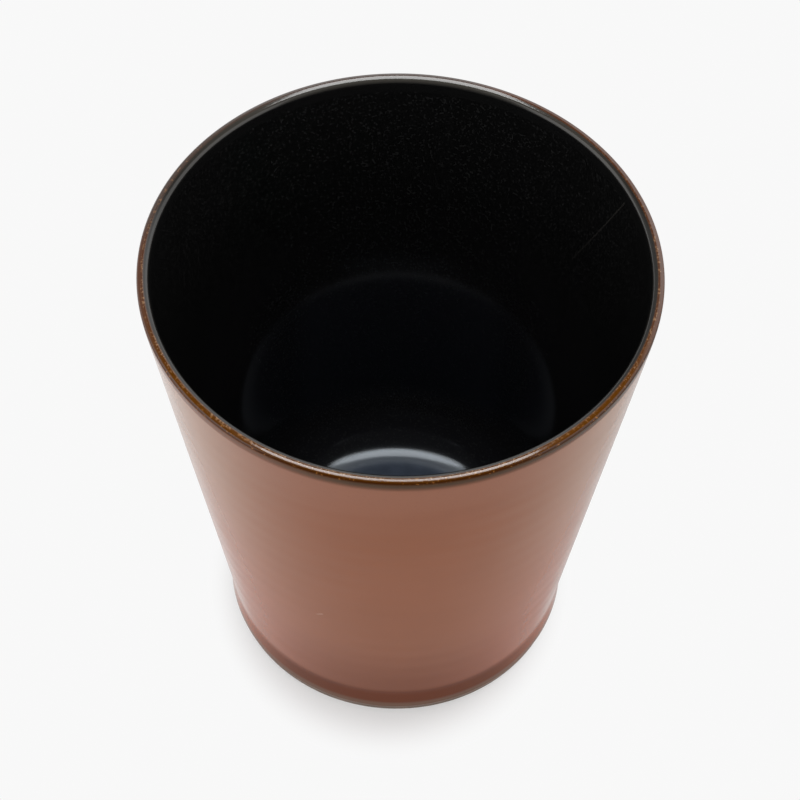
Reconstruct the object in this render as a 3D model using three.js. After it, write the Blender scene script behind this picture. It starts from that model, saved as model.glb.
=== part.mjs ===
// A handleless conical stoneware cup on a short foot band: the fired clay body and the glazes on it.
// Millimetres, +Z up. The origin is on the table, under the middle of the foot.
import * as THREE from 'three';

// Outside form
const cupHeight = 85;
const rimRadius = 40;
const footRadius = 28.8;
const footHeight = 6.6;
const footCove = 16;
const lipWidth = 1.9;
const lipRound = 0.85;

// Inside form, measured on the finished lining
const floorHeight = 7;
const wallAtFloor = 2.2;
const floorCurve = 12;

// Underside
const footRingWidth = 4;
const footEdgeRound = 0.4;
const recessDepth = 2;
const recessRound = 1;

// Glaze coats
const glazeThickness = 0.4;
const bondGap = 0.02;
const seamGap = 0.05;
const bareFoot = 1.6;
const rimBandOutside = 2.2;
const rimBandInside = 2.4;
const underGlazeMargin = 1.2;

// Fineness of the turned surfaces
const turnSteps = 64;
const lipSteps = 4;
const smallSteps = 3;
const floorSteps = 10;

const clayDepth = glazeThickness + bondGap;

function point(radius, height) {
  return new THREE.Vector2(radius, height);
}

// Outside radius of the cone, and radius of the inside wall, at a height
function coneRadius(height) {
  const share = (height - footHeight) / (cupHeight - footHeight);
  return THREE.MathUtils.lerp(footRadius, rimRadius, share);
}

const wallFootRadius = coneRadius(floorHeight) - wallAtFloor;

function insideRadius(height) {
  const share = (height - floorHeight) / (cupHeight - floorHeight);
  return THREE.MathUtils.lerp(wallFootRadius, rimRadius - lipWidth, share);
}

// Points of an arc that rounds the corner between two straight stretches
function roundedCorner(before, corner, after, wantedRadius, steps) {
  const back = before.clone().sub(corner);
  const ahead = after.clone().sub(corner);
  const halfAngle = Math.acos(back.dot(ahead) / (back.length() * ahead.length())) / 2;
  const longestTangent = Math.min(back.length(), ahead.length());
  const tangent = Math.min(wantedRadius / Math.tan(halfAngle), longestTangent);
  const radius = tangent * Math.tan(halfAngle);
  const start = corner.clone().add(back.clone().setLength(tangent));
  const bisector = back.clone().normalize().add(ahead.clone().normalize());
  const centre = corner.clone().add(bisector.setLength(radius / Math.sin(halfAngle)));
  const sweep = Math.PI - 2 * halfAngle;
  const turn = Math.sign(ahead.cross(back));
  const arm = start.sub(centre);
  const points = [];
  for (let step = 0; step <= steps; step += 1) {
    const angle = (turn * sweep * step) / steps;
    points.push(arm.clone().rotateAround(point(0, 0), angle).add(centre));
  }
  return points;
}

// A line moved to its left by a distance, with mitred corners
function moved(line, distance) {
  return line.map((here, index) => {
    const before = line[Math.max(index - 1, 0)];
    const after = line[Math.min(index + 1, line.length - 1)];
    const into = index > 0 ? here.clone().sub(before).normalize() : after.clone().sub(here).normalize();
    const out = index < line.length - 1 ? after.clone().sub(here).normalize() : into;
    const mitre = into.clone().add(out).normalize();
    const left = point(-mitre.y, mitre.x);
    return here.clone().addScaledVector(left, distance / mitre.dot(into));
  });
}

// Finished surface of each coat, running up the outside, over the lip and down the inside
function outsideLine() {
  const hem = point(footRadius, bareFoot);
  const kink = point(footRadius, footHeight);
  const topHeight = cupHeight - rimBandOutside - seamGap;
  const top = point(coneRadius(topHeight), topHeight);
  return [hem, ...roundedCorner(hem, kink, top, footCove, smallSteps), top];
}

function lipLine() {
  const outerHem = point(coneRadius(cupHeight - rimBandOutside), cupHeight - rimBandOutside);
  const innerHem = point(insideRadius(cupHeight - rimBandInside), cupHeight - rimBandInside);
  const outerCorner = point(rimRadius, cupHeight);
  const innerCorner = point(rimRadius - lipWidth, cupHeight);
  const crown = outerCorner.clone().add(innerCorner).multiplyScalar(0.5);
  return [
    outerHem,
    ...roundedCorner(outerHem, outerCorner, crown, lipRound, lipSteps),
    ...roundedCorner(crown, innerCorner, innerHem, lipRound, lipSteps),
    innerHem,
  ];
}

function insideLine() {
  const topHeight = cupHeight - rimBandInside - seamGap;
  const top = point(insideRadius(topHeight), topHeight);
  const corner = point(wallFootRadius, floorHeight);
  const middle = point(0, floorHeight);
  return [top, ...roundedCorner(top, corner, middle, floorCurve, floorSteps), middle];
}

// Clay under the foot: out from the axis across the recess, then around the bare foot ring
const ringInnerRadius = footRadius - clayDepth - footEdgeRound - footRingWidth;

function footLine(bareTop) {
  const recessMiddle = point(0, recessDepth);
  const recessCorner = point(ringInnerRadius, recessDepth);
  const ringInner = point(ringInnerRadius, 0);
  const ringOuter = point(footRadius - clayDepth, 0);
  return [
    recessMiddle,
    ...roundedCorner(recessMiddle, recessCorner, ringInner, recessRound, smallSteps),
    ringInner,
    ...roundedCorner(ringInner, ringOuter, bareTop, footEdgeRound, smallSteps),
  ];
}

// A turned solid from its closed section
function turned(name, section, look) {
  const geometry = new THREE.LatheGeometry(section, turnSteps);
  geometry.rotateX(Math.PI / 2);
  const mesh = new THREE.Mesh(geometry, new THREE.MeshStandardMaterial(look));
  mesh.name = name;
  return mesh;
}

// A coat lies between its finished surface and the clay, and closes on itself or on the axis
function coat(name, surface, look) {
  const back = moved(surface, glazeThickness).reverse();
  const section = [...back, ...surface];
  const onAxis = surface[surface.length - 1].x === 0;
  if (!onAxis) {
    section.push(back[0]);
  }
  return turned(name, section, look);
}

function clayBody() {
  const finished = [...outsideLine(), ...lipLine(), ...insideLine()];
  const underGlaze = moved(finished, clayDepth);
  const section = [...footLine(underGlaze[0]), ...underGlaze];
  return turned('clay_body', section, { color: 0x6f5a4e, roughness: 0.85, metalness: 0 });
}

function undersideGlaze() {
  const edge = ringInnerRadius - recessRound - underGlazeMargin;
  const top = recessDepth - bondGap;
  const bottom = top - glazeThickness;
  const section = [point(0, bottom), point(edge, bottom), point(edge, top), point(0, top)];
  return turned('underside_glaze', section, { color: 0x7d4a35, roughness: 0.45, metalness: 0 });
}

const cup = new THREE.Group();
cup.name = 'conical_cup';
cup.add(clayBody());
cup.add(coat('exterior_glaze', outsideLine(), { color: 0x8f5f4b, roughness: 0.45, metalness: 0 }));
cup.add(coat('rim_glaze', lipLine(), { color: 0x5a3214, roughness: 0.15, metalness: 0 }));
cup.add(coat('interior_glaze', insideLine(), { color: 0x050506, roughness: 0.08, metalness: 0 }));
cup.add(undersideGlaze());

export default cup;
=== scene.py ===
"""Looks of a handleless conical stoneware cup.

The clay and its four coats of glaze are turned again as fine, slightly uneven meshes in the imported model's
frame: satin rust outside, gloss black inside, an amber break over the lip and bare clay at the foot.
Metres, +Z up. The camera looks along +Y and down.
"""

import math

import bmesh
import bpy
from mathutils import Matrix, Vector, noise


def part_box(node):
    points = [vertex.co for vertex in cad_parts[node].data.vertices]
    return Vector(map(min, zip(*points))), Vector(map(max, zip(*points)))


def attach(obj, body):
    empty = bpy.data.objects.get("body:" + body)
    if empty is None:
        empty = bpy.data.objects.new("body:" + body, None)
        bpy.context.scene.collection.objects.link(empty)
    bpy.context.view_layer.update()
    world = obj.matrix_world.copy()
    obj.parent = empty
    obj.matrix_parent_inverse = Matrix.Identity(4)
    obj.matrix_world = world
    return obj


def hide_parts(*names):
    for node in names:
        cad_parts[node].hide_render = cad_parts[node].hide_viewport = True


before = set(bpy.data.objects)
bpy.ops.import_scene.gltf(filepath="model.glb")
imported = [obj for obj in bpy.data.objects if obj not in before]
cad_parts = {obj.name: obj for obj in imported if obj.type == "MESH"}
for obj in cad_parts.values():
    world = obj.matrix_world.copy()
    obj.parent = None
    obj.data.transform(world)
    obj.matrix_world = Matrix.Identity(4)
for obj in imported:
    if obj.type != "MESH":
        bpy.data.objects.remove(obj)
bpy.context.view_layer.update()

MM = 0.001
RIGHT = Vector((1, 0, 0))
BACK = Vector((0, 1, 0))
FRONT = -BACK

# Outside form
RIM_RADIUS = 40.0 * MM
FOOT_RADIUS = 28.8 * MM
FOOT_HEIGHT = 6.6 * MM
FOOT_COVE = 16.0 * MM

# Lip: two soft slopes that meet in a ridge halfway across
LIP_WIDTH = 1.9 * MM
LIP_RIDGE = LIP_WIDTH / 2
OUTER_SLOPE = math.radians(16.3)
INNER_SLOPE = math.radians(22.6)
LIP_TUCK = 0.06 * MM
OUTER_ROUND = 0.55 * MM
RIDGE_ROUND = 0.38 * MM
INNER_ROUND = 0.95 * MM
RIDGE_RADIUS = RIM_RADIUS - LIP_RIDGE

# Inside form, on the finished lining
WALL_AT_FLOOR = 2.2 * MM
FLOOR_CURVE = 12.0 * MM

# Underside
FOOT_RING_WIDTH = 4.0 * MM
FOOT_EDGE_ROUND = 0.4 * MM
RECESS_ROUND = 1.0 * MM

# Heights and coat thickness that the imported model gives
BOND_GAP = 0.02 * MM
under_low, under_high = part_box("underside_glaze")
GLAZE = under_high.z - under_low.z
CUP_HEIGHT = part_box("rim_glaze")[1].z
HEM_HEIGHT, COAT_TOP = (corner.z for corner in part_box("exterior_glaze"))
LINING_BOTTOM, LINING_TOP = (corner.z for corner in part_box("interior_glaze"))
FLOOR_HEIGHT = LINING_BOTTOM + GLAZE
RECESS_DEPTH = under_high.z + BOND_GAP
CLAY_DEPTH = GLAZE + BOND_GAP

# Fineness of the turned meshes
TURN_STEPS = 256
CORNER_STEPS = 14
CURVE_STEPS = 40
ROW_LENGTH = 1.0 * MM
MERGE_DISTANCE = 0.0001 * MM
SHARP_ANGLE = math.radians(40)

# Unevenness of a cup thrown by hand: inward or downward, so the cup keeps its box, and a hem that wanders
WOBBLE = 0.05 * MM
WOBBLE_REACH = 30.0 * MM
LIP_DIP = 0.06 * MM
LIP_DIP_SHARE = 0.1
SPIRAL_PITCH = 4.6 * MM
SPIRAL_REACH = 3 * SPIRAL_PITCH
SPIRAL_DEPTH = 0.025 * MM
SPIRAL_FADE = 9.0 * MM
HEM_WANDER = 0.35 * MM
HEM_REACH = WOBBLE_REACH / 4
HEM_ROUND = 0.34 * MM

# Camera, in degrees, pixels of an 800 pixel picture, and rim radii from the middle of the mouth
PICTURE = 800
SENSOR = 36.0
VIEW_ELEVATION = 50.95
VIEW_DISTANCE = 10.0 * RIM_RADIUS
VIEW_FOCAL = 2650.0
VIEW_PITCH = -2.910
VIEW_YAW = 0.0325
VIEW_ROLL = 0.984

# White tent of light that is open above, with a brighter window and a dim corner
TENT_LIGHT = 1.28
TENT_LEFT = 1.65
TENT_RIGHT = 1.3
TENT_TOP = 0.68
TENT_END = 0.78
OPEN_LIGHT = 0.05
WINDOW_WAY = Vector((0.65, 0.62, 0.44)).normalized()
WINDOW_LIGHT = 0.7
WINDOW_EDGE = 0.955
WINDOW_CORE = 0.99
DIM_WAY = Vector((-0.55, 0.63, 0.55)).normalized()
DIM_EDGE = 0.84
DIM_CORE = 0.94
DIM_SHARE = 0.27

# Soft box over the cup, and dark card behind the camera
BOX_LIGHT = 11.2
BOX_HEIGHT = 1.2
BOX_BACK = 0.03
BOX_LENGTH = 0.90
BOX_WIDTH = 0.28
CARD_DISTANCE = 0.5
CARD_WIDTH = 1.2
CARD_HEIGHT = 0.7
CARD_GREY = 0.02
MATT_ROUGH = 0.9
MATT_GLOSS = 0.1

# Floor: its white, brighter in reflections on the left, and the shadow that it keeps at the foot
FLOOR_SIZE = 8.0
FLOOR_GREY = 0.93
FLOOR_WHITE = 0.94
FLOOR_LEFT = 1.05
FLOOR_RIGHT = 0.75
SIDE_REACH = 90.0 * MM
SHADOW_SHIFT = Vector((-1.0, -1.4, 0)) * MM
SHADOW_STRETCH = (1.16, 1, 1)
SHADOW_START = FOOT_RADIUS - 2.0 * MM
SHADOW_END = FOOT_RADIUS + 8.0 * MM
SHADOW_SOFTENING = 0.28


# Lines of the turned form, as (radius, height)

def cone_radius(height):
    """Outside radius of the cone at a height."""
    share = (height - FOOT_HEIGHT) / (CUP_HEIGHT - FOOT_HEIGHT)
    return FOOT_RADIUS + (RIM_RADIUS - FOOT_RADIUS) * share


WALL_FOOT_RADIUS = cone_radius(FLOOR_HEIGHT) - WALL_AT_FLOOR


def inside_radius(height):
    """Radius of the inside wall at a height."""
    share = (height - FLOOR_HEIGHT) / (CUP_HEIGHT - FLOOR_HEIGHT)
    return WALL_FOOT_RADIUS + (RIM_RADIUS - LIP_WIDTH - WALL_FOOT_RADIUS) * share


def rounded(before, corner, after, wanted_radius, steps):
    """Points of an arc that rounds the corner between two straight stretches."""
    back = before - corner
    ahead = after - corner
    half_angle = back.angle(ahead) / 2
    tangent = min(wanted_radius / math.tan(half_angle), back.length, ahead.length)
    radius = tangent * math.tan(half_angle)
    bisector = (back.normalized() + ahead.normalized()).normalized()
    centre = corner + bisector * (radius / math.sin(half_angle))
    arm = corner + back.normalized() * tangent - centre
    turn = math.copysign(math.pi - 2 * half_angle, ahead.x * back.y - ahead.y * back.x)
    points = []
    for step in range(steps + 1):
        points.append(centre + Matrix.Rotation(turn * step / steps, 2) @ arm)
    return points


def spaced(line):
    """The same line with points no further apart than a row."""
    points = [line[0]]
    for here, there in zip(line, line[1:]):
        rows = max(1, math.ceil((there - here).length / ROW_LENGTH))
        points += [here.lerp(there, row / rows) for row in range(1, rows + 1)]
    return points


def moved(line, distance):
    """A line moved to its left by a distance, with mitred corners."""
    points = []
    for index, here in enumerate(line):
        before = line[max(index - 1, 0)]
        after = line[min(index + 1, len(line) - 1)]
        into = (here - before if index else after - here).normalized()
        out = (after - here).normalized() if index < len(line) - 1 else into
        mitre = (into + out).normalized()
        points.append(here + Vector((-mitre.y, mitre.x)) * (distance / mitre.dot(into)))
    return points


def outside_line():
    """Finished rust coat, from its hem up to the lip's band."""
    hem = Vector((FOOT_RADIUS, HEM_HEIGHT))
    kink = Vector((FOOT_RADIUS, FOOT_HEIGHT))
    top = Vector((cone_radius(COAT_TOP), COAT_TOP))
    return [hem, *rounded(hem, kink, top, FOOT_COVE, CORNER_STEPS), top]


def lip_line():
    """Finished lip band, from the outside over the ridge to the inside."""
    outer_hem = Vector((cone_radius(COAT_TOP), COAT_TOP))
    inner_hem = Vector((inside_radius(LINING_TOP), LINING_TOP))
    ridge = Vector((RIDGE_RADIUS, CUP_HEIGHT))
    outer_height = CUP_HEIGHT - LIP_RIDGE * math.tan(OUTER_SLOPE)
    inner_height = CUP_HEIGHT - (LIP_WIDTH - LIP_RIDGE) * math.tan(INNER_SLOPE)
    outer_corner = Vector((cone_radius(outer_height) - LIP_TUCK, outer_height))
    inner_corner = Vector((inside_radius(inner_height), inner_height))
    return [
        outer_hem,
        *rounded(outer_hem, outer_corner, ridge, OUTER_ROUND, CORNER_STEPS),
        *rounded(outer_corner, ridge, inner_corner, RIDGE_ROUND, CORNER_STEPS),
        *rounded(ridge, inner_corner, inner_hem, INNER_ROUND, CORNER_STEPS),
        inner_hem,
    ]


def inside_line():
    """Finished lining, from the lip's band down to the axis."""
    top = Vector((inside_radius(LINING_TOP), LINING_TOP))
    corner = Vector((WALL_FOOT_RADIUS, FLOOR_HEIGHT))
    middle = Vector((0, FLOOR_HEIGHT))
    return [top, *rounded(top, corner, middle, FLOOR_CURVE, CURVE_STEPS), middle]


FOOT_RING_INNER = FOOT_RADIUS - CLAY_DEPTH - FOOT_EDGE_ROUND - FOOT_RING_WIDTH


def foot_line(bare_top):
    """Clay under the foot: from the axis across the recess, then around the bare foot ring."""
    recess_middle = Vector((0, RECESS_DEPTH))
    recess_corner = Vector((FOOT_RING_INNER, RECESS_DEPTH))
    ring_inner = Vector((FOOT_RING_INNER, 0))
    ring_outer = Vector((FOOT_RADIUS - CLAY_DEPTH, 0))
    return [
        recess_middle,
        *rounded(recess_middle, recess_corner, ring_inner, RECESS_ROUND, CORNER_STEPS),
        *rounded(recess_corner, ring_inner, ring_outer, FOOT_EDGE_ROUND, CORNER_STEPS),
        *rounded(ring_inner, ring_outer, bare_top, FOOT_EDGE_ROUND, CORNER_STEPS),
    ]


# Unevenness of the hand-thrown form

def smooth_step(value):
    """0 below 0, 1 above 1, and a soft rise between."""
    value = min(max(value, 0.0), 1.0)
    return value * value * (3 - 2 * value)


def slow_noise(angle, height, reach):
    """Smooth noise from 0 to 1 around the cup and up it, over lengths of about reach."""
    size = RIM_RADIUS / reach
    where = Vector((size * math.cos(angle), size * math.sin(angle), height / reach))
    return 0.5 + 0.5 * noise.noise(where)


def thrown(angle, radius, height):
    """Where a point of the true form lies on the hand-thrown one."""
    inward = WOBBLE * slow_noise(angle, height, WOBBLE_REACH) * radius / RIM_RADIUS
    near_lip = smooth_step((height / CUP_HEIGHT - (1 - LIP_DIP_SHARE)) / LIP_DIP_SHARE)
    dip = LIP_DIP * slow_noise(angle, 0.0, WOBBLE_REACH) * near_lip
    return radius - inward, height - dip


def thrown_outside(angle, radius, height):
    """The same, with the shallow spiral that fingers leave outside, and a hem that wanders."""
    fade = smooth_step((COAT_TOP - height) / SPIRAL_FADE) * smooth_step((height - FOOT_HEIGHT) / SPIRAL_FADE)
    turn = 2 * math.pi * height / SPIRAL_PITCH + angle
    depth = SPIRAL_DEPTH * (0.5 - 0.5 * math.cos(turn)) * slow_noise(angle, height, SPIRAL_REACH)
    near_hem = smooth_step((FOOT_HEIGHT - height) / (FOOT_HEIGHT - HEM_HEIGHT))
    wander = HEM_WANDER * (slow_noise(angle, 0.0, HEM_REACH) - 0.5) * near_hem
    return thrown(angle, radius - depth * fade, height + wander)


# Turned meshes

def turned(name, section, shape, is_ring):
    """A closed mesh turned about Z. A ring's section closes on itself, and any other on the axis."""
    mesh = bmesh.new()
    rings = []
    for step in range(TURN_STEPS):
        angle = 2 * math.pi * step / TURN_STEPS
        ring = []
        for point in section:
            radius, height = shape(angle, point.x, point.y)
            ring.append(mesh.verts.new((radius * math.cos(angle), radius * math.sin(angle), height)))
        rings.append(ring)
    links = list(zip(range(len(section)), range(1, len(section))))
    if is_ring:
        links.append((len(section) - 1, 0))
    for step, ring in enumerate(rings):
        following = rings[(step + 1) % TURN_STEPS]
        for low, high in links:
            mesh.faces.new((ring[low], following[low], following[high], ring[high]))
    bmesh.ops.remove_doubles(mesh, verts=mesh.verts, dist=MERGE_DISTANCE)
    bmesh.ops.recalc_face_normals(mesh, faces=mesh.faces)
    data = bpy.data.meshes.new(name)
    mesh.to_mesh(data)
    mesh.free()
    data.shade_smooth()
    data.set_sharp_from_angle(angle=SHARP_ANGLE)
    piece = bpy.data.objects.new(name, data)
    bpy.context.scene.collection.objects.link(piece)
    return piece


def coat_section(surface):
    """Section of a coat between its finished surface and the clay."""
    return [*surface, *reversed(moved(surface, GLAZE))]


def finished(piece, node, material):
    """Dresses a piece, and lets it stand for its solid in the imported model."""
    piece.data.materials.append(material)
    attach(piece, "root")
    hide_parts(node)


def exterior_piece(material):
    """Rust coat, with a rounded bead at its hem."""
    surface = spaced(outside_line())
    section = coat_section(surface)
    hem_front = section[0]
    hem_back = section[-1]
    bead = rounded(hem_back, hem_front, section[1], HEM_ROUND, CORNER_STEPS)
    piece = turned("rust_coat", [*bead, *section[1:]], thrown_outside, True)
    finished(piece, "exterior_glaze", material)


def rim_piece():
    """Amber band over the lip."""
    surface = spaced(lip_line())
    piece = turned("lip_band", coat_section(surface), thrown, True)
    finished(piece, "rim_glaze", lip_material())


def interior_piece():
    """Black lining, closed on the axis."""
    surface = spaced(inside_line())
    back = moved(surface, GLAZE)
    back[-1].x = 0.0
    piece = turned("black_lining", [*reversed(surface), *back], thrown, False)
    finished(piece, "interior_glaze", lining_material())


def clay_piece():
    """Fired clay, just under its coats and bare at the foot."""
    coats = [*outside_line(), *lip_line()[1:], *inside_line()[1:]]
    under_glaze = moved(spaced(coats), CLAY_DEPTH)
    under_glaze[-1].x = 0.0
    section = [*foot_line(under_glaze[0]), *under_glaze]
    piece = turned("stoneware", section, thrown, False)
    finished(piece, "clay_body", clay_material())


def underside_piece(material):
    """Coat in the hollow under the floor, with a rounded edge."""
    edge = Vector((under_high.x, under_low.z))
    bottom_middle = Vector((0, under_low.z))
    top_edge = Vector((under_high.x, under_high.z))
    top_middle = Vector((0, under_high.z))
    section = spaced([bottom_middle, *rounded(bottom_middle, edge, top_edge, HEM_ROUND, CORNER_STEPS)])
    piece = turned("underside_coat", [*section, top_edge, top_middle], thrown, False)
    finished(piece, "underside_glaze", material)


# Nodes of materials and of the world

# Sockets of a colour mix
MIX_SHARE = 0
MIX_FIRST = 6
MIX_SECOND = 7
MIX_COLOUR = 2

PLAIN_DETAIL = 2.0
FINE_DETAIL = 4.0


class Look:
    """A material or a world, with short ways to add nodes to it."""

    def __init__(self, owner, coordinates):
        owner.use_nodes = True
        self.owner = owner
        self.nodes = owner.node_tree.nodes
        self.links = owner.node_tree.links
        self.place = self.add("ShaderNodeTexCoord").outputs[coordinates]

    def put(self, socket, value):
        """Links a socket to another one, or sets it to a plain value."""
        if isinstance(value, bpy.types.NodeSocket):
            self.links.new(value, socket)
        else:
            socket.default_value = value

    def add(self, kind, inputs=None, **settings):
        """Adds a node, sets its properties, and sets or links its inputs."""
        made = self.nodes.new(kind)
        for name, value in settings.items():
            setattr(made, name, value)
        for name, value in (inputs or {}).items():
            self.put(made.inputs[name], value)
        return made

    def shader(self):
        """The material's shader."""
        return self.nodes["Principled BSDF"]

    def dress(self, name, value):
        """Sets or links one of the shader's inputs."""
        self.put(self.shader().inputs[name], value)

    def bump(self, height, depth):
        """Relief on the shader from a height value."""
        made = self.add("ShaderNodeBump", {"Height": height, "Distance": depth, "Strength": 1.0})
        self.dress("Normal", made.outputs["Normal"])

    def worked(self, operation, first, second):
        """The sum, product or the like of two values."""
        return self.add("ShaderNodeMath", {0: first, 1: second}, operation=operation).outputs["Value"]

    def times(self, first, second):
        """The product of two values."""
        return self.worked("MULTIPLY", first, second)

    def larger(self, first, second):
        """The larger of two values."""
        return self.worked("MAXIMUM", first, second)

    def apart(self, value, middle):
        """How far a value lies from a middle, on either side."""
        off = self.worked("SUBTRACT", value, middle)
        return self.add("ShaderNodeMath", {0: off}, operation="ABSOLUTE").outputs["Value"]

    def mapped(self, value, low, high, to_low=0.0, to_high=1.0):
        """A value carried smoothly from one span to another, and held at its ends."""
        inputs = {"Value": value, "From Min": low, "From Max": high, "To Min": to_low, "To Max": to_high}
        made = self.add("ShaderNodeMapRange", inputs, interpolation_type="SMOOTHSTEP")
        return made.outputs["Result"]

    def mixed(self, share, first, second):
        """One colour turning into another."""
        inputs = {MIX_SHARE: share, MIX_FIRST: first, MIX_SECOND: second}
        return self.add("ShaderNodeMix", inputs, data_type="RGBA").outputs[MIX_COLOUR]

    def stretched(self, place, scale):
        """Coordinates scaled along each axis."""
        return self.add("ShaderNodeMapping", {"Vector": place, "Scale": scale}).outputs["Vector"]

    def along(self, way):
        """How far the coordinates reach along a direction."""
        made = self.add("ShaderNodeVectorMath", {0: self.place, 1: way}, operation="DOT_PRODUCT")
        return made.outputs["Value"]

    def height(self):
        """Third coordinate: the height above the table, or a direction's rise."""
        return self.add("ShaderNodeSeparateXYZ", {"Vector": self.place}).outputs["Z"]

    def radius(self, place):
        """Distance of coordinates from the cup's axis."""
        flat = self.stretched(place, (1, 1, 0))
        return self.add("ShaderNodeVectorMath", {0: flat}, operation="LENGTH").outputs["Value"]

    def spots(self, place, size, detail):
        """Noise from 0 to 1 at coordinates, with spots of about that size."""
        inputs = {"Vector": place, "Scale": 1 / size, "Detail": detail}
        return self.add("ShaderNodeTexNoise", inputs).outputs["Fac"]

    def grain(self, size, detail=PLAIN_DETAIL):
        """Noise from 0 to 1 over the whole surface."""
        return self.spots(self.place, size, detail)


def new_look(name):
    """A new material, with coordinates that go with the cup."""
    return Look(bpy.data.materials.new(name), "Object")


def paint(red, green, blue):
    """A colour value from linear parts."""
    return (red, green, blue, 1.0)


def grey(level):
    """A neutral colour value."""
    return paint(level, level, level)


# Scratches: the share of the width that is full, the soft ends in widths, and what is left at the end
SCRATCH_CORE = 0.4
SCRATCH_SOFT_WIDTHS = 2
SCRATCH_FADE = 0.4


def scratch(look, start, end, width):
    """1 at the start of a fine straight scratch in the wall, fading towards its end, and 0 around it."""
    outward = Vector((start.x, start.y, 0)).normalized()
    run = (end - start).normalized()
    across = run.cross(outward).normalized()
    off_line = look.apart(look.along(across), across.dot(start))
    line = look.mapped(off_line, width, SCRATCH_CORE * width)
    reach = look.along(run)
    half_length = (end - start).length / 2
    off_middle = look.apart(reach, run.dot(start + end) / 2)
    within = look.mapped(off_middle, half_length, half_length - SCRATCH_SOFT_WIDTHS * width)
    fade = look.mapped(reach, run.dot(end), run.dot(start), SCRATCH_FADE, 1)
    this_side = look.mapped(look.along(outward), 0, outward.dot(start) / 2)
    return look.times(look.times(line, within), look.times(fade, this_side))


# Painted shade: a dark brown band under the lip, weaker on the left
UNDER_LIP_SHADE_BROWN = paint(0.043, 0.017, 0.003)
UNDER_LIP_SHADE_SPAN = (COAT_TOP - 0.5 * MM, COAT_TOP + 1.15 * MM)
UNDER_LIP_SHADE_SIDES = (-34 * MM, -4 * MM)
UNDER_LIP_SHADE_LEFT = 0.35


def under_lip_painted_shade(look, height):
    """Up to 1 where painted shade darkens the band under the lip to dark brown, and 0 on the wall."""
    under_lip = look.mapped(height, *UNDER_LIP_SHADE_SPAN)
    return look.times(under_lip, look.mapped(look.along(RIGHT), *UNDER_LIP_SHADE_SIDES, UNDER_LIP_SHADE_LEFT, 1))


# Rust glaze

RUST_LIGHT = paint(0.182, 0.048, 0.010)
RUST_DEEP = paint(0.173, 0.044, 0.007)
CLOUD_SIZE = 20 * MM
CLOUD_SPAN = (0.3, 0.7)
RUST_UPPER = paint(0.197, 0.070, 0.034)
UPPER_SPAN = (0.75 * CUP_HEIGHT, CUP_HEIGHT)
UPPER_SHARE = 0.75
RUST_MARK = paint(0.167, 0.042, 0.007)
MARK_SIZE = 6 * MM
MARK_STRETCH = (0.1, 0.1, 1)
MARK_SPAN = (0.45, 0.7)
MARK_SHARE = 0.4
IRON_SPECK = paint(0.12, 0.03, 0.007)
IRON_SIZE = 0.45 * MM
IRON_SPAN = (0.64, 0.74)
IRON_SHARE = 0.25


def rust_colour(look, height):
    """Faint clouds, paler towards the lip, with throwing marks and iron specks."""
    clouds = look.mapped(look.grain(CLOUD_SIZE), *CLOUD_SPAN)
    colour = look.mixed(clouds, RUST_LIGHT, RUST_DEEP)
    upper = look.mapped(height, *UPPER_SPAN, 0, UPPER_SHARE)
    colour = look.mixed(upper, colour, RUST_UPPER)
    around = look.stretched(look.place, MARK_STRETCH)
    marks = look.mapped(look.spots(around, MARK_SIZE, PLAIN_DETAIL), *MARK_SPAN, 0, MARK_SHARE)
    colour = look.mixed(marks, colour, RUST_MARK)
    specks = look.mapped(look.grain(IRON_SIZE), *IRON_SPAN, 0, IRON_SHARE)
    return look.mixed(specks, colour, IRON_SPECK)


# Painted shade at the foot: the lower wall and the upright band darkened to brown
PAINTED_FOOT_SHADE = paint(0.080, 0.015, 0.003)
BAND_TOP = 7.2 * MM
BAND_SHADE_SPAN = (BAND_TOP + 0.5 * MM, BAND_TOP - 0.6 * MM)
BAND_SHADE_SHARE = 0.8
LOW_SHADE_SPAN = (4.3 * BAND_TOP, 1.1 * BAND_TOP)
LOW_SHADE_SHARE = 0.54


def rust_painted_foot_shade(look, height, outside, colour):
    """The colour, with painted shade: darker towards the foot and on its band."""
    low = look.mapped(height, *LOW_SHADE_SPAN, 0, LOW_SHADE_SHARE)
    band = look.mapped(height, *BAND_SHADE_SPAN, 0, BAND_SHADE_SHARE)
    foot = look.times(outside, look.larger(low, band))
    return look.mixed(foot, colour, PAINTED_FOOT_SHADE)


# Painted sheen: the base colour turns paler at a slant, and paler still higher up
SHEEN_BLEND = 0.5
SHEEN_LOW = paint(0.257, 0.050, 0.004)
SHEEN_HIGH = paint(0.285, 0.155, 0.098)
SHEEN_RISE = (0.2 * CUP_HEIGHT, 0.95 * CUP_HEIGHT)
SHEEN_SPAN = (0.58, 0.88)
SHEEN_EDGE = paint(0.42, 0.33, 0.30)
EDGE_SPAN = (0.84, 0.98)
EDGE_SHARE = 0.6


def rust_painted_sheen(look, height, colour):
    """The colour, with a painted satin sheen: paler where the surface is seen at a slant."""
    facing = look.add("ShaderNodeLayerWeight", {"Blend": SHEEN_BLEND}).outputs["Facing"]
    sheen = look.mixed(look.mapped(height, *SHEEN_RISE), SHEEN_LOW, SHEEN_HIGH)
    colour = look.mixed(look.mapped(facing, *SHEEN_SPAN), colour, sheen)
    return look.mixed(look.mapped(facing, *EDGE_SPAN, 0, EDGE_SHARE), colour, SHEEN_EDGE)


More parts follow.
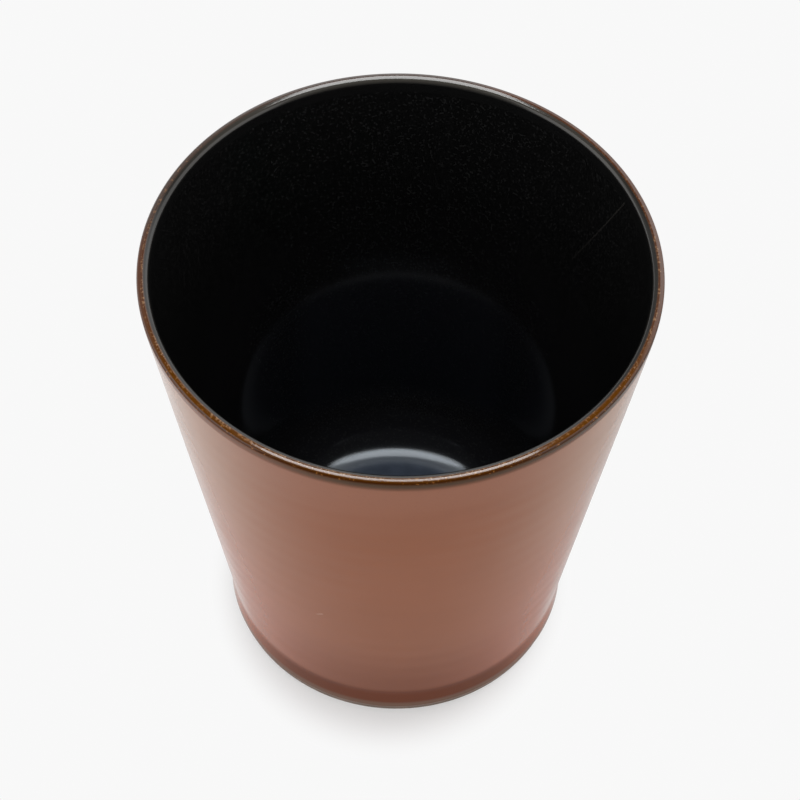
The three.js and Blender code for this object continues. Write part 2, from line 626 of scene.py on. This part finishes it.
OUTSIDE_SPAN = (FOOT_RADIUS - 3 * MM, FOOT_RADIUS - 1.5 * MM)
HEM_GREY = paint(0.128, 0.082, 0.058)
HEM_SPAN = (HEM_HEIGHT + 1.9 * MM, HEM_HEIGHT + 0.9 * MM)
HEM_SHARE = 0.65
NICK_PALE = paint(0.275, 0.13, 0.08)
NICK_START = Vector((-11.36, -30.76, 34.55)) * MM
NICK_END = Vector((-12.68, -30.04, 33.24)) * MM
NICK_WIDTH = 0.24 * MM
SATIN_SIZE = 8 * MM
SATIN_SPAN = (0.3, 0.7)
SATIN_ROUGH = (0.19, 0.22)
RUST_GLOSS_SPAN = (4 * BAND_TOP, BAND_TOP)
RUST_GLOSS = (0.18, 0.09)
RUST_BUMP_SIZE = 0.5 * MM
RUST_BUMP_DEPTH = 0.004 * MM


def rust_material():
    """Satin rust glaze, with painted shade towards the foot and under the lip, a painted sheen at a slant, a
    dull hem and one pale nick.
    """
    look = new_look("rust_glaze")
    height = look.height()
    outside = look.mapped(look.radius(look.place), *OUTSIDE_SPAN)
    colour = rust_colour(look, height)
    # Painted shade towards the foot and on its band
    colour = rust_painted_foot_shade(look, height, outside, colour)
    # Painted sheen where the surface is seen at a slant
    colour = rust_painted_sheen(look, height, colour)
    hem = look.mapped(height, *HEM_SPAN, 0, HEM_SHARE)
    colour = look.mixed(look.times(outside, hem), colour, HEM_GREY)
    colour = look.mixed(scratch(look, NICK_START, NICK_END, NICK_WIDTH), colour, NICK_PALE)
    # Painted shade: the band under the lip darkened to dark brown
    colour = look.mixed(under_lip_painted_shade(look, height), colour, UNDER_LIP_SHADE_BROWN)
    look.dress("Base Color", colour)
    look.dress("Roughness", look.mapped(look.grain(SATIN_SIZE), *SATIN_SPAN, *SATIN_ROUGH))
    look.dress("Specular IOR Level", look.mapped(height, *RUST_GLOSS_SPAN, *RUST_GLOSS))
    look.bump(look.grain(RUST_BUMP_SIZE), RUST_BUMP_DEPTH)
    return look.owner


# Amber glaze of the lip

LIP_GRAIN = 0.4 * MM
AMBER_DARK = paint(0.036, 0.009, 0.0003)
AMBER_GOLD = paint(0.086, 0.027, 0.0006)
GOLD_SPAN = (CUP_HEIGHT - 0.36 * MM, CUP_HEIGHT - 0.12 * MM)
AMBER_SPECK = paint(0.22, 0.09, 0.02)
AMBER_SPECK_SPAN = (0.6, 0.72)
AMBER_BROWN = paint(0.072, 0.025, 0.010)
AMBER_FRONT = (2 * MM, 24 * MM)
LIP_GREY = paint(0.055, 0.042, 0.036)
BACK_LEFT = (-0.5, 0.87, 0)
BACK_LEFT_SPAN = (21 * MM, 29 * MM)
BACK_LEFT_SHARE = 0.8


def lip_amber(look, height):
    """Amber, golden near the ridge and speckled in front, browner behind, and grey at the back left."""
    amber = look.mixed(look.mapped(height, *GOLD_SPAN), AMBER_DARK, AMBER_GOLD)
    specks = look.mapped(look.grain(LIP_GRAIN), *AMBER_SPECK_SPAN)
    amber = look.mixed(specks, amber, AMBER_SPECK)
    amber = look.mixed(look.mapped(look.along(FRONT), *AMBER_FRONT), AMBER_BROWN, amber)
    grey_share = look.mapped(look.along(BACK_LEFT), *BACK_LEFT_SPAN, 0, BACK_LEFT_SHARE)
    return look.mixed(grey_share, amber, LIP_GREY)


LIP_BLACK = grey(0.004)
# Painted reflection: a grey haze on the black inside the ridge
LIP_PAINTED_REFLECTION = paint(0.036, 0.033, 0.028)
LIP_REFLECTION_SPAN = (CUP_HEIGHT - 0.95 * MM, CUP_HEIGHT - 0.3 * MM)
REFLECTION_BACK = (8 * MM, 33 * MM)
REFLECTION_FRONT_SHARE = 0.3


def lip_black_and_painted_reflection(look, height):
    """Black inside the ridge, with a painted reflection, a grey haze that is strongest at the back."""
    haze = look.mapped(height, *LIP_REFLECTION_SPAN)
    haze = look.times(haze, look.mapped(look.along(BACK), *REFLECTION_BACK, REFLECTION_FRONT_SHARE, 1))
    return look.mixed(haze, LIP_BLACK, LIP_PAINTED_REFLECTION)


DOT_PALE = paint(0.24, 0.135, 0.07)
DOT_SPAN = (0.53, 0.62)
DOT_FRONT = (-30 * MM, -15 * MM)
DOT_RIDGE = (0.3 * MM, 0.1 * MM)
PATCH_SIZE = 7 * MM
PATCH_SPAN = (0.4, 0.6)
PATCH_LOW = 0.4


def lip_dots(look, radius):
    """1 in the fine dots along the ridge, which come in patches and stop at the back."""
    patches = look.mapped(look.grain(PATCH_SIZE), *PATCH_SPAN, PATCH_LOW, 1)
    dots = look.times(patches, look.mapped(look.grain(LIP_GRAIN), *DOT_SPAN))
    dots = look.times(dots, look.mapped(look.along(FRONT), *DOT_FRONT))
    return look.times(dots, look.mapped(look.apart(radius, RIDGE_RADIUS), *DOT_RIDGE))


LIP_RUST = paint(0.17, 0.058, 0.026)
ON_LIP_SPAN = (CUP_HEIGHT - 0.7 * MM, CUP_HEIGHT - 0.35 * MM)
INNER_SPAN = (RIDGE_RADIUS - 0.08 * MM, RIDGE_RADIUS - 0.4 * MM)
LIP_ROUGH_SPAN = (CUP_HEIGHT - 0.7 * MM, CUP_HEIGHT - 0.3 * MM)
LIP_ROUGH = (0.2, 0.11)
OUTER_GLOSS_SPAN = (CUP_HEIGHT - 0.75 * MM, CUP_HEIGHT + 0.05 * MM)
OUTER_GLOSS = (0.1, 0.5)
INNER_GLOSS_SPAN = (RIDGE_RADIUS, RIDGE_RADIUS - 0.35 * MM)
INNER_GLOSS = (0, 0.4)
LIP_BUMP_SIZE = 0.8 * MM
LIP_BUMP_DEPTH = 0.006 * MM


def lip_material():
    """Glaze that breaks from black, with a painted reflection, over a dotted ridge to amber, and to rust
    darkened by painted shade below the lip.
    """
    look = new_look("amber_glaze")
    radius = look.radius(look.place)
    height = look.height()
    # Painted shade: rust under the lip darkened to dark brown
    colour = look.mixed(under_lip_painted_shade(look, height), LIP_RUST, UNDER_LIP_SHADE_BROWN)
    colour = look.mixed(look.mapped(height, *ON_LIP_SPAN), colour, lip_amber(look, height))
    # Painted reflection inside the ridge
    colour = look.mixed(look.mapped(radius, *INNER_SPAN), colour, lip_black_and_painted_reflection(look, height))
    colour = look.mixed(lip_dots(look, radius), colour, DOT_PALE)
    look.dress("Base Color", colour)
    look.dress("Roughness", look.mapped(height, *LIP_ROUGH_SPAN, *LIP_ROUGH))
    outer_gloss = look.mapped(height, *OUTER_GLOSS_SPAN, *OUTER_GLOSS)
    inner_gloss = look.mapped(radius, *INNER_GLOSS_SPAN, *INNER_GLOSS)
    look.dress("Specular IOR Level", look.larger(outer_gloss, inner_gloss))
    look.bump(look.grain(LIP_BUMP_SIZE), LIP_BUMP_DEPTH)
    return look.owner


# Black glaze of the lining, and the pool in it, with a painted slate blue reflection and a painted highlight
# on its ring

BLACK_HIGH = grey(0.0028)
BLACK_DEEP = paint(0.0060, 0.0058, 0.0063)
DEEP_SPAN = (0.75 * CUP_HEIGHT, 0.4 * CUP_HEIGHT)
DUST_GREY = grey(0.0115)
DUST_SIZE = 0.4 * MM
DUST_SPAN = (0.52, 0.72)
SCRATCH_GREY = paint(0.020, 0.0185, 0.017)
SCRATCH_TOP = Vector((35.02, 14.73, 84.25)) * MM
SCRATCH_END = Vector((27.79, 20.77, 61.77)) * MM
SCRATCH_WIDTH = 0.13 * MM


def lining_black(look, height):
    """Black, less deep near the floor, with dust and one hair scratch."""
    black = look.mixed(look.mapped(height, *DEEP_SPAN), BLACK_HIGH, BLACK_DEEP)
    dust = look.mapped(look.grain(DUST_SIZE), *DUST_SPAN)
    black = look.mixed(dust, black, DUST_GREY)
    return look.mixed(scratch(look, SCRATCH_TOP, SCRATCH_END, SCRATCH_WIDTH), black, SCRATCH_GREY)


POOL_RADIUS = 20.5 * MM
# Painted reflection: the pool on the floor painted slate blue, with streaks
PAINTED_SLATE_DARK = paint(0.041, 0.052, 0.073)
PAINTED_SLATE_PALE = paint(0.051, 0.063, 0.088)
STREAK_SIZE = 2.5 * MM
STREAK_SPAN = (0.3, 0.7)
POOL_EDGE = (POOL_RADIUS, POOL_RADIUS - 1.2 * MM)
POOL_FRINGE = (POOL_RADIUS + 9 * MM, POOL_RADIUS + 2 * MM)
FRINGE_SHARE = 0.03


def pool_painted_reflection(look, radius, on_floor, colour):
    """The colour, with the pool on the floor painted slate blue as a reflection of the light above, and a
    faint fringe round it.
    """
    streaks = look.mapped(look.grain(STREAK_SIZE, FINE_DETAIL), *STREAK_SPAN)
    slate = look.mixed(streaks, PAINTED_SLATE_DARK, PAINTED_SLATE_PALE)
    pool = look.mapped(radius, *POOL_EDGE, FRINGE_SHARE, 1)
    pool = look.times(pool, look.mapped(radius, *POOL_FRINGE))
    return look.mixed(look.times(pool, on_floor), colour, slate)


# Painted highlight: a pale ring round the pool
RING_HIGHLIGHT_FAR = paint(0.158, 0.176, 0.198)
RING_HIGHLIGHT_NEAR = grey(0.5)
RING_TURN = (-2 * MM, 6 * MM)
RING_INSIDE = (POOL_RADIUS - 3.1 * MM, POOL_RADIUS - 0.7 * MM)
RING_OUTSIDE = (POOL_RADIUS + 0.1 * MM, POOL_RADIUS - 0.5 * MM)
RING_THIN = (POOL_RADIUS - 1.7 * MM, POOL_RADIUS - 0.9 * MM)
RING_SIDES = (11 * MM, 18 * MM)
RING_SIDE_SHARE = 0.45


def pool_ring_painted_highlight(look, radius, on_floor, colour):
    """The colour, with the pool's pale ring, a painted highlight: weaker at the sides, thinner and paler in
    front.
    """
    ahead = look.along(FRONT)
    near = look.mapped(ahead, *RING_TURN)
    far = look.mapped(ahead, *reversed(RING_TURN))
    aside = look.apart(look.along(RIGHT), 0)
    ring = look.mapped(radius, *RING_INSIDE)
    ring = look.times(ring, look.mapped(radius, *RING_OUTSIDE))
    ring = look.times(ring, look.mapped(aside, *RING_SIDES, 1, RING_SIDE_SHARE))
    ring = look.times(ring, look.larger(look.mapped(radius, *RING_THIN), far))
    pale = look.mixed(near, RING_HIGHLIGHT_FAR, RING_HIGHLIGHT_NEAR)
    return look.mixed(look.times(ring, on_floor), colour, pale)


POOL_ROUGH_SPAN = (POOL_RADIUS - 0.3 * MM, POOL_RADIUS - 3.5 * MM)
POOL_ROUGH = (0, 0.30)
COVE_START = (FLOOR_HEIGHT + 0.25 * FLOOR_CURVE, FLOOR_HEIGHT + 0.4 * FLOOR_CURVE)
COVE_END = (FLOOR_HEIGHT + FLOOR_CURVE, FLOOR_HEIGHT + 0.8 * FLOOR_CURVE)
COVE_ROUGH = (0, 0.26)
WALL_SPAN = (FLOOR_HEIGHT + 0.8 * FLOOR_CURVE, FLOOR_HEIGHT + 2 * FLOOR_CURVE)
WALL_ROUGH = (0.12, 0.08)
NEAR_ROUGH = 0.25


def lining_rough(look, radius, height, near):
    """Roughness: smooth on the wall, duller in the cove, in the pool and on the near side of the floor."""
    pool = look.mapped(radius, *POOL_ROUGH_SPAN, *POOL_ROUGH)
    cove = look.mapped(height, *COVE_START, *COVE_ROUGH)
    cove = look.times(cove, look.mapped(height, *COVE_END))
    wall = look.mapped(height, *WALL_SPAN, *WALL_ROUGH)
    rough = look.larger(wall, look.larger(pool, cove))
    return look.larger(rough, look.times(near, NEAR_ROUGH))


LINING_GLOSS_SPAN = (POOL_RADIUS - 0.6 * MM, POOL_RADIUS - 2.4 * MM)
LINING_GLOSS = (0.27, 0.10)
SIDE_SPAN = (14 * MM, 20 * MM)
SIDE_GLOSS = 0.4
SIDE_TOP = (35 * MM, 55 * MM)
NEAR_GLOSS = 0.35


def lining_gloss(look, radius, height, near):
    """Gloss: less in the pool, low on the side walls and on the near side of the floor."""
    gloss = look.mapped(radius, *LINING_GLOSS_SPAN, *LINING_GLOSS)
    side = look.mapped(look.apart(look.along(RIGHT), 0), *SIDE_SPAN, 1, SIDE_GLOSS)
    gloss = look.times(gloss, look.larger(side, look.mapped(height, *SIDE_TOP)))
    return look.times(gloss, look.mapped(near, 0, 1, 1, NEAR_GLOSS))


ON_FLOOR_SPAN = (FLOOR_HEIGHT + 1.5 * FLOOR_CURVE, FLOOR_HEIGHT + 0.5 * FLOOR_CURVE)
NEAR_SPAN = (8 * MM, 16 * MM)
GLOSS_TINT = paint(0.85, 0.93, 1.0)


def lining_material():
    """Gloss black glaze that pools on the floor, with a painted slate blue reflection in the pool and a
    painted highlight on its ring.
    """
    look = new_look("black_glaze")
    radius = look.radius(look.place)
    height = look.height()
    on_floor = look.mapped(height, *ON_FLOOR_SPAN)
    near = look.times(on_floor, look.mapped(look.along(FRONT), *NEAR_SPAN))
    colour = lining_black(look, height)
    # Painted reflection in the pool
    colour = pool_painted_reflection(look, radius, on_floor, colour)
    # Painted highlight on the pool's ring
    look.dress("Base Color", pool_ring_painted_highlight(look, radius, on_floor, colour))
    look.dress("Roughness", lining_rough(look, radius, height, near))
    look.dress("Specular IOR Level", lining_gloss(look, radius, height, near))
    look.dress("Specular Tint", GLOSS_TINT)
    return look.owner


# Bare clay

CLAY_PALE = paint(0.17, 0.125, 0.10)
CLAY_DARK = paint(0.13, 0.095, 0.073)
CLAY_CLOUD_SIZE = 5 * MM
CLAY_CLOUD_SPAN = (0.35, 0.65)
GRIT_DARK = paint(0.07, 0.05, 0.04)
GRIT_SIZE = 0.35 * MM
GRIT_SPAN = (0.62, 0.72)
GRIT_SHARE = 0.7
CLAY_ROUGH = 0.85
CLAY_BUMP_SIZE = 0.3 * MM
CLAY_BUMP_DEPTH = 0.04 * MM


def clay_material():
    """Bare fired stoneware, grey brown and gritty."""
    look = new_look("stoneware")
    clouds = look.mapped(look.grain(CLAY_CLOUD_SIZE, FINE_DETAIL), *CLAY_CLOUD_SPAN)
    colour = look.mixed(clouds, CLAY_PALE, CLAY_DARK)
    grit = look.mapped(look.grain(GRIT_SIZE), *GRIT_SPAN, 0, GRIT_SHARE)
    look.dress("Base Color", look.mixed(grit, colour, GRIT_DARK))
    look.dress("Roughness", CLAY_ROUGH)
    look.bump(look.grain(CLAY_BUMP_SIZE, FINE_DETAIL), CLAY_BUMP_DEPTH)
    return look.owner


# Studio

def sheet(name, corners, material):
    """A flat sheet of the studio."""
    mesh = bmesh.new()
    mesh.faces.new([mesh.verts.new(corner) for corner in corners])
    data = bpy.data.meshes.new(name)
    mesh.to_mesh(data)
    mesh.free()
    data.materials.append(material)
    piece = bpy.data.objects.new(name, data)
    bpy.context.scene.collection.objects.link(piece)
    return piece


def matt_look(name, level):
    """A new matt grey material."""
    look = new_look(name)
    look.dress("Base Color", grey(level))
    look.dress("Roughness", MATT_ROUGH)
    look.dress("Specular IOR Level", MATT_GLOSS)
    return look


def floor_material():
    """Matt white that keeps the shadow at the foot, and is seen as even white further out."""
    look = matt_look("floor", FLOOR_GREY)
    rays = look.add("ShaderNodeLightPath").outputs
    seen = rays["Is Camera Ray"]
    mirrored = look.larger(rays["Is Glossy Ray"], rays["Is Transmission Ray"])
    off_foot = look.add("ShaderNodeVectorMath", {0: look.place, 1: SHADOW_SHIFT}, operation="SUBTRACT")
    around = look.radius(look.stretched(off_foot.outputs["Vector"], SHADOW_STRETCH))
    away = look.mapped(around, SHADOW_START, SHADOW_END, SHADOW_SOFTENING, 1)
    share = look.larger(look.times(seen, away), mirrored)
    side = look.mapped(look.along(RIGHT), -SIDE_REACH, SIDE_REACH, FLOOR_LEFT, FLOOR_RIGHT)
    strength = look.larger(seen, look.times(mirrored, side))
    white = look.add("ShaderNodeEmission", {"Color": grey(FLOOR_WHITE), "Strength": strength})
    inputs = {0: share, 1: look.shader().outputs["BSDF"], 2: white.outputs["Emission"]}
    both = look.add("ShaderNodeMixShader", inputs).outputs["Shader"]
    look.put(look.nodes["Material Output"].inputs["Surface"], both)
    return look.owner


def floor():
    """A plain pale floor."""
    half = FLOOR_SIZE / 2
    corners = [(x * half, y * half, 0) for x, y in ((-1, -1), (1, -1), (1, 1), (-1, 1))]
    sheet("floor", corners, floor_material())


def dark_card():
    """A dark card behind the camera, which only the gloss reflects."""
    half = CARD_WIDTH / 2
    outline = ((-half, 0), (half, 0), (half, CARD_HEIGHT), (-half, CARD_HEIGHT))
    corners = [(x, -CARD_DISTANCE, z) for x, z in outline]
    card = sheet("dark_card", corners, matt_look("dark_card", CARD_GREY).owner)
    card.visible_camera = False
    card.visible_diffuse = False
    card.visible_shadow = False


def tent():
    """White cloth all round up to a height, with a window and a dim corner in it, and a dim room above."""
    world = bpy.data.worlds.new("tent")
    bpy.context.scene.world = world
    look = Look(world, "Generated")
    cloth = look.mapped(look.height(), TENT_TOP, TENT_END, TENT_LIGHT, OPEN_LIGHT)
    sideways = look.along(RIGHT)
    cloth = look.times(cloth, look.mapped(sideways, -1, 0, TENT_LEFT, 1))
    cloth = look.times(cloth, look.mapped(sideways, 0, 1, 1, TENT_RIGHT))
    dim = look.mapped(look.along(DIM_WAY), DIM_EDGE, DIM_CORE, 1, DIM_SHARE)
    window = look.mapped(look.along(WINDOW_WAY), WINDOW_EDGE, WINDOW_CORE, 0, WINDOW_LIGHT)
    light = look.worked("ADD", look.times(cloth, dim), window)
    background = look.nodes["Background"]
    look.put(background.inputs["Strength"], light)
    look.put(background.inputs["Color"], grey(1.0))


def soft_box():
    """A soft box straight above the cup, its long side from left to right."""
    light = bpy.data.lights.new("soft_box", "AREA")
    light.shape = "ELLIPSE"
    light.size = BOX_LENGTH
    light.size_y = BOX_WIDTH
    light.energy = BOX_LIGHT * math.pi * (math.pi / 4 * BOX_LENGTH * BOX_WIDTH)
    holder = bpy.data.objects.new("soft_box", light)
    holder.location = (0, BOX_BACK, BOX_HEIGHT)
    holder.visible_camera = False
    bpy.context.scene.collection.objects.link(holder)


def swung(first, second, degrees):
    """Two square directions, turned in their plane from the first towards the second."""
    angle = math.radians(degrees)
    new_first = first * math.cos(angle) + second * math.sin(angle)
    new_second = second * math.cos(angle) - first * math.sin(angle)
    return new_first, new_second


def camera():
    """The photograph's view: down into the mouth, from in front."""
    rise = math.radians(VIEW_ELEVATION)
    mouth = Vector((0, 0, CUP_HEIGHT))
    back = Vector((0, -math.cos(rise), math.sin(rise)))
    ahead = -back
    right = RIGHT
    up = right.cross(ahead)
    ahead, up = swung(ahead, up, VIEW_PITCH)
    ahead, right = swung(ahead, right, VIEW_YAW)
    right, up = swung(right, up, VIEW_ROLL)
    lens = bpy.data.cameras.new("camera")
    lens.sensor_width = SENSOR
    lens.lens = VIEW_FOCAL / PICTURE * SENSOR
    holder = bpy.data.objects.new("camera", lens)
    place = Matrix((right, up, -ahead)).transposed().to_4x4()
    place.translation = mouth + back * VIEW_DISTANCE
    holder.matrix_world = place
    bpy.context.scene.collection.objects.link(holder)
    bpy.context.scene.camera = holder


bpy.context.scene.view_settings.view_transform = "Standard"
rust = rust_material()
clay_piece()
exterior_piece(rust)
rim_piece()
interior_piece()
underside_piece(rust)
floor()
dark_card()
tent()
soft_box()
camera()
